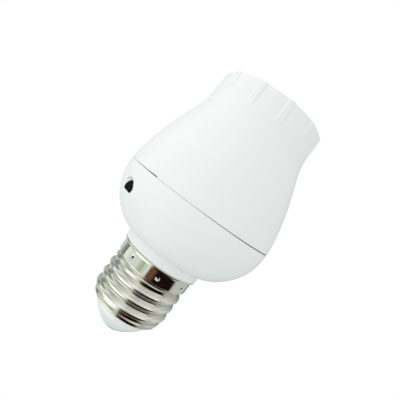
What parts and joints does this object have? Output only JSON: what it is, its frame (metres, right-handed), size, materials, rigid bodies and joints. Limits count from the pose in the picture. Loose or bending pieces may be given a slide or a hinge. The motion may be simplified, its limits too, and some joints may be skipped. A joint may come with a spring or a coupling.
{
  "type": "lamp holder adapter",
  "caption": "Light-sensing lamp holder: an E27 screw cap, a pear-shaped white housing with a sensor window, and a ribbed neck with a female E27 socket.",
  "frame": {"origin": "on the axis, where the metal cap's lip meets the white housing", "axes": "+Z along the axis towards the open mouth of the socket; the sensor window faces -Y; a neck rib lies on +X"},
  "size_m": [0.0532, 0.0532, 0.089],
  "materials": {
    "nickel_sheet": "bright nickel plate on rolled sheet",
    "white_cone": "smooth white",
    "tinned_contact": "tinned, slightly dull",
    "white_housing": "smooth satin white",
    "black_lens": "glossy black",
    "sensor_disc": "resin over a ceramic disc",
    "board_laminate": "green solder mask",
    "screw_steel": "zinc plated",
    "film_case": "yellow case",
    "can_sleeve": "dark shrink sleeve",
    "moulded_black": "moulded epoxy",
    "resistor_coat": "lacquer",
    "varistor_coat": "epoxy dip",
    "base_insulator": "pressed insulating plastic",
    "brass": "turned and plated",
    "spring_bronze": "cold-rolled strip",
    "wire_black": "insulation",
    "wire_red": "insulation"
  },
  "bodies": {
    "holder": {"cap_shell": "nickel_sheet", "socket_thread_shell": "nickel_sheet", "cap_insulator": "white_cone", "cap_contact": "tinned_contact", "lower_shell": "white_housing", "upper_shell": "white_housing", "sensor_lens": "black_lens", "light_sensor": "sensor_disc", "circuit_board": "board_laminate", "board_screws": "screw_steel", "socket_screws": "screw_steel", "film_capacitor": "film_case", "smoothing_capacitor": "can_sleeve", "thyristor": "moulded_black", "bridge_rectifier": "moulded_black", "control_chip": "moulded_black", "resistors": "resistor_coat", "varistor": "varistor_coat", "socket_base": "base_insulator", "shell_rivets": "brass", "leaf_rivet": "brass", "terminal_tags": "brass", "contact_leaf": "spring_bronze", "cap_shell_lead": "wire_black", "cap_centre_lead": "wire_red", "socket_shell_lead": "wire_black", "socket_centre_lead": "wire_red"},
    "contact": {"contact_button": "brass"}
  },
  "joints": [
    {"name": "contact_press", "type": "slide", "parent": "holder", "child": "contact", "axis": [0, 0, -1], "range_m": [0, 0.0015], "stiffness_N_per_m": 1800, "deforming": ["contact_leaf"]}
  ]
}
